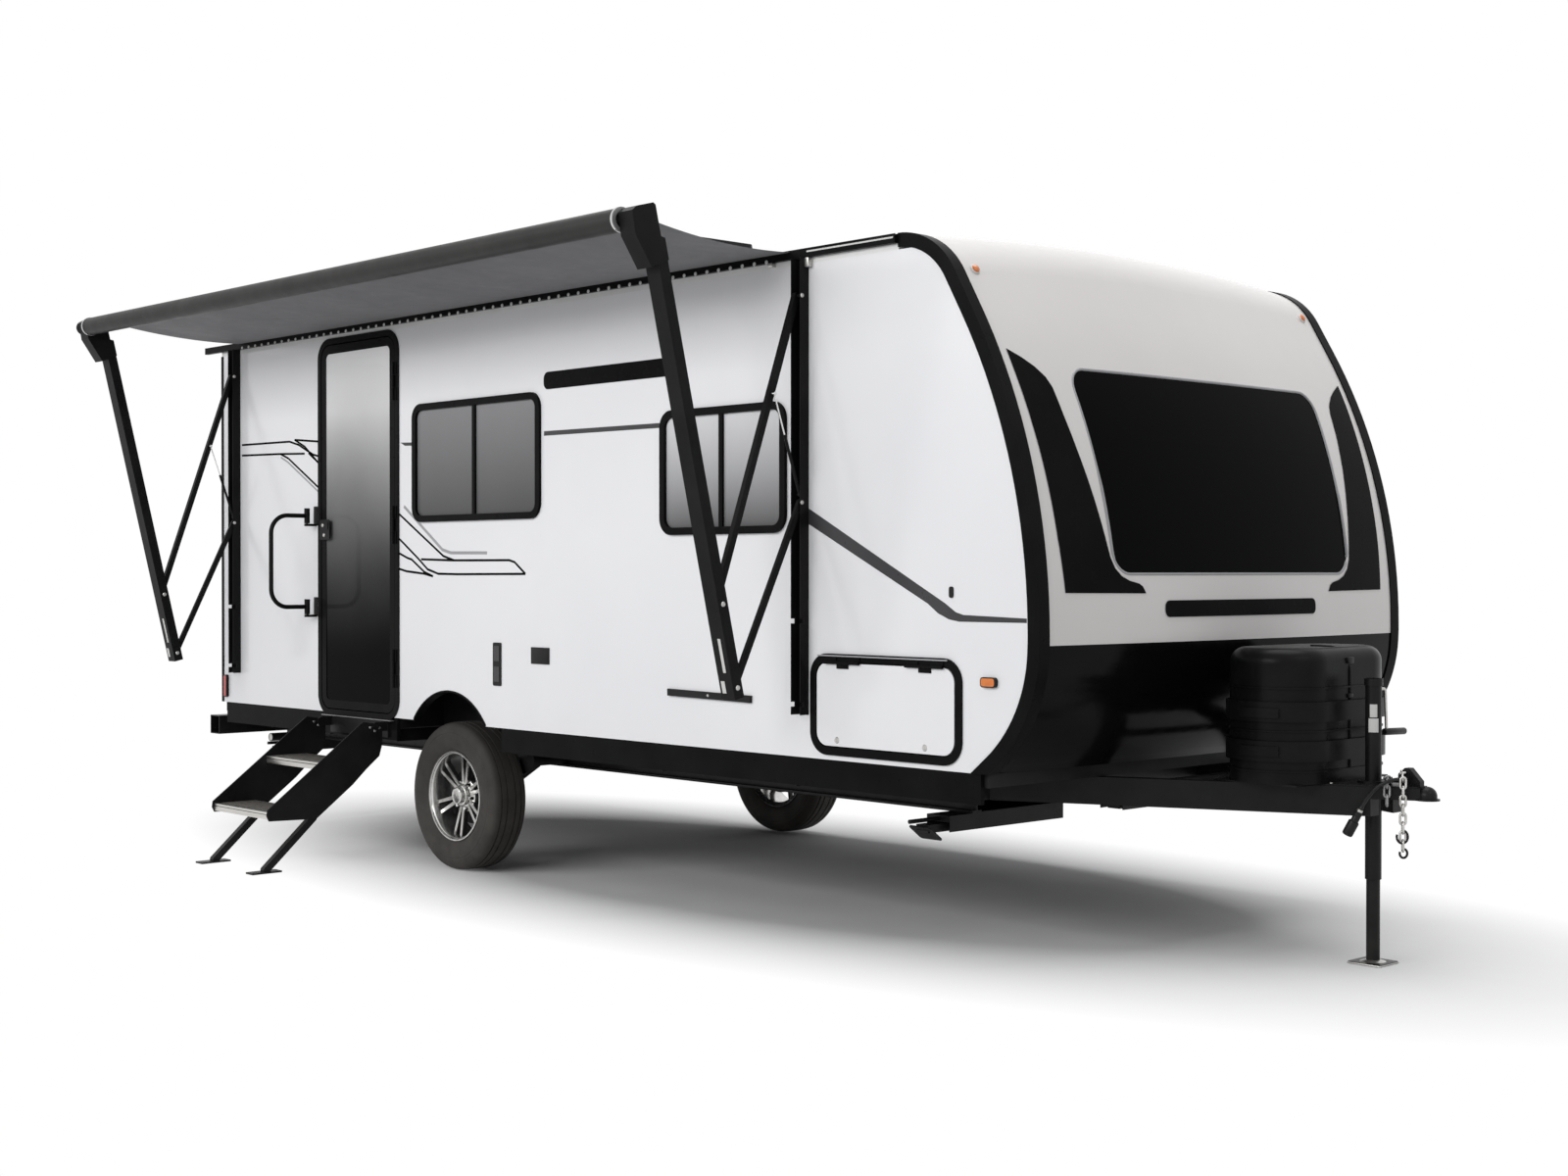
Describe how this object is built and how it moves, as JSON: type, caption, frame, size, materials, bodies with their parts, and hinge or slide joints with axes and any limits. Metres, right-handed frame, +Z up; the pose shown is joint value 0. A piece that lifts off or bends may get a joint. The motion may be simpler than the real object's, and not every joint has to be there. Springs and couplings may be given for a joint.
{
  "type": "travel trailer",
  "caption": "Hard-sided travel trailer with a curved front cap, side entry door with folding steps, wall-mounted awning, roof air conditioner and A-frame tongue with a jack.",
  "frame": {"origin": "centre of the coupler's ball socket", "axes": "+X towards the towing vehicle along the trailer, +Y to the trailer's left (road side, opposite the entry door), +Z up"},
  "size_m": [6.7385, 3.196, 3.0103],
  "materials": {
    "gelcoat_white": "gloss gelcoat over laminated panel",
    "gelcoat_black": "gloss black gelcoat",
    "roof_white": "roof membrane",
    "glass_dark": "tinted",
    "plastic_black": "moulded",
    "trim_black": "satin",
    "steel_black": "black chassis paint",
    "tyre_rubber": "moulded rubber",
    "rim_alloy": "machined and painted",
    "step_alloy": "mill finish with grip tape",
    "step_black": "satin black powder coat",
    "handle_black": "satin black with soft grip",
    "awning_black": "powder coated black",
    "awning_tube": "rolled cloth on a black tube",
    "awning_cloth": "coated cloth",
    "spring_black": "black cylinder",
    "spring_rod": "polished rod",
    "shroud_black": "moulded shroud",
    "vent_white": "moulded",
    "lamp_red": "lens",
    "cord_black": "cable sheath",
    "plug_black": "moulded plug"
  },
  "bodies": {
    "trailer": {"front_cap_upper": "gelcoat_white", "front_cap_lower": "gelcoat_black", "windshield": "glass_dark", "curbside_wall": "gelcoat_white", "roadside_wall": "gelcoat_white", "roof_panel": "roof_white", "rear_wall": "gelcoat_white", "floor_deck": "plastic_black", "wheel_wells": "plastic_black", "corner_mouldings": "trim_black", "roof_rails": "trim_black", "body_skirts": "trim_black", "window_frames": "trim_black", "window_panes": "glass_dark", "door_frame": "trim_black", "baggage_frames": "trim_black", "chassis_rails": "steel_black", "cross_members": "steel_black", "belly_pan": "plastic_black", "rear_bumper": "steel_black", "trailing_arms": "steel_black", "tongue_frame": "steel_black", "coupler": "steel_black", "jack_housing": "steel_black", "gas_bottle_cover": "plastic_black", "step_bracket": "steel_black", "handle_brackets": "trim_black", "awning_wall_channels": "awning_black", "stabilizer_bases": "steel_black", "air_conditioner": "shroud_black", "roof_vent_base": "vent_white", "lamps": "lamp_red", "tow_cord": "cord_black", "tow_plug": "plug_black", "awning_fabric": "awning_cloth"},
    "wheel_curbside": {"tyre_curbside": "tyre_rubber", "rim_curbside": "rim_alloy"},
    "wheel_roadside": {"tyre_roadside": "tyre_rubber", "rim_roadside": "rim_alloy"},
    "door_leaf": {"entry_door": "trim_black", "door_glass": "glass_dark"},
    "baggage_leaf_curbside": {"baggage_door_curbside": "gelcoat_white"},
    "baggage_leaf_roadside": {"baggage_door_roadside": "gelcoat_white"},
    "entry_steps": {"step_stringers": "step_black", "step_treads": "step_alloy", "step_legs": "step_black"},
    "handle": {"assist_handle": "handle_black"},
    "awning_upper": {"awning_upper_struts": "awning_black"},
    "awning_arm_frame": {"awning_arms": "awning_black", "awning_roller": "awning_tube"},
    "awning_lower": {"awning_lower_struts": "awning_black"},
    "spring_cylinders": {"awning_spring_cylinders": "spring_black"},
    "spring_rods": {"awning_spring_rods": "spring_rod"},
    "jack_inner": {"jack_leg": "steel_black"},
    "leg_rear_curbside": {"stabilizer_leg_rear_curbside": "steel_black"},
    "leg_rear_roadside": {"stabilizer_leg_rear_roadside": "steel_black"},
    "leg_front_curbside": {"stabilizer_leg_front_curbside": "steel_black"},
    "leg_front_roadside": {"stabilizer_leg_front_roadside": "steel_black"},
    "vent_lid": {"roof_vent_lid": "vent_white"}
  },
  "joints": [
    {"name": "wheel_curbside_spin", "type": "hinge", "parent": "trailer", "child": "wheel_curbside", "pos_m": [-4.345, -1.0205, -0.265], "axis": [0, 1, 0], "continuous": true},
    {"name": "wheel_roadside_spin", "type": "hinge", "parent": "trailer", "child": "wheel_roadside", "pos_m": [-4.345, 1.0205, -0.265], "axis": [0, 1, 0], "continuous": true},
    {"name": "entry_door_swing", "type": "hinge", "parent": "trailer", "child": "door_leaf", "pos_m": [-4.7745, -1.16, 1.0035], "axis": [0, 0, 1], "range_deg": [0, 165]},
    {"name": "baggage_door_curbside_lift", "type": "hinge", "parent": "trailer", "child": "baggage_leaf_curbside", "pos_m": [-1.5145, -1.16, 0.4425], "axis": [-1, 0, 0], "range_deg": [0, 160]},
    {"name": "baggage_door_roadside_lift", "type": "hinge", "parent": "trailer", "child": "baggage_leaf_roadside", "pos_m": [-1.5145, 1.16, 0.4425], "axis": [1, 0, 0], "range_deg": [0, 160]},
    {"name": "entry_steps_fold", "type": "hinge", "parent": "trailer", "child": "entry_steps", "pos_m": [-5.105, -1.207, 0.035], "axis": [-1, 0, 0], "range_deg": [0, 105]},
    {"name": "assist_handle_fold", "type": "hinge", "parent": "trailer", "child": "handle", "pos_m": [-5.515, -1.197, 0.603], "axis": [0, 0, -1], "range_deg": [0, 90]},
    {"name": "awning_fold", "type": "hinge", "parent": "trailer", "child": "awning_upper", "pos_m": [-4.195, -1.18, 1.818], "axis": [1, 0, 0], "range_deg": [0, 19.2], "deforming": ["awning_fabric"]},
    {"name": "awning_arm_turn", "type": "hinge", "parent": "awning_upper", "child": "awning_arm_frame", "pos_m": [-4.195, -1.583, 0.662], "axis": [1, 0, 0], "range_deg": [-33, 0]},
    {"name": "awning_lower_turn", "type": "hinge", "parent": "trailer", "child": "awning_lower", "pos_m": [-4.195, -1.18, 1.04], "axis": [1, 0, 0], "range_deg": [0, 26.4]},
    {"name": "awning_spring_turn", "type": "hinge", "parent": "trailer", "child": "spring_cylinders", "pos_m": [-4.195, -1.18, 1.07], "axis": [1, 0, 0], "range_deg": [-20, 0]},
    {"name": "awning_spring_stroke", "type": "slide", "parent": "spring_cylinders", "child": "spring_rods", "axis": [0, -0.332, 0.9433], "range_m": [-0.047, 0]},
    {"name": "tongue_jack_lift", "type": "slide", "parent": "trailer", "child": "jack_inner", "axis": [0, 0, 1], "range_m": [0, 0.26]},
    {"name": "vent_lid_lift", "type": "hinge", "parent": "trailer", "child": "vent_lid", "pos_m": [-5.56, 0, 2.1023], "axis": [0, -1, 0], "range_deg": [0, 80]},
    {"name": "stabilizer_rear_curbside_drop", "type": "hinge", "parent": "trailer", "child": "leg_rear_curbside", "pos_m": [-6.26, -0.218, -0.172], "axis": [1, 0, 0], "range_deg": [0, 36.5]},
    {"name": "stabilizer_rear_roadside_drop", "type": "hinge", "parent": "trailer", "child": "leg_rear_roadside", "pos_m": [-6.26, 0.218, -0.172], "axis": [-1, 0, 0], "range_deg": [0, 36.5]},
    {"name": "stabilizer_front_curbside_drop", "type": "hinge", "parent": "trailer", "child": "leg_front_curbside", "pos_m": [-1.52, -0.218, -0.172], "axis": [1, 0, 0], "range_deg": [0, 36.5]},
    {"name": "stabilizer_front_roadside_drop", "type": "hinge", "parent": "trailer", "child": "leg_front_roadside", "pos_m": [-1.52, 0.218, -0.172], "axis": [-1, 0, 0], "range_deg": [0, 36.5]}
  ],
  "couplings": [
    {"joint": "awning_arm_turn", "follows": "awning_fold", "ratio": -1.6797},
    {"joint": "awning_lower_turn", "follows": "awning_fold", "ratio": 1.3471},
    {"joint": "awning_spring_turn", "follows": "awning_fold", "ratio": -1.009},
    {"joint": "awning_spring_stroke", "follows": "awning_fold", "m_per_rad": -0.13287}
  ]
}
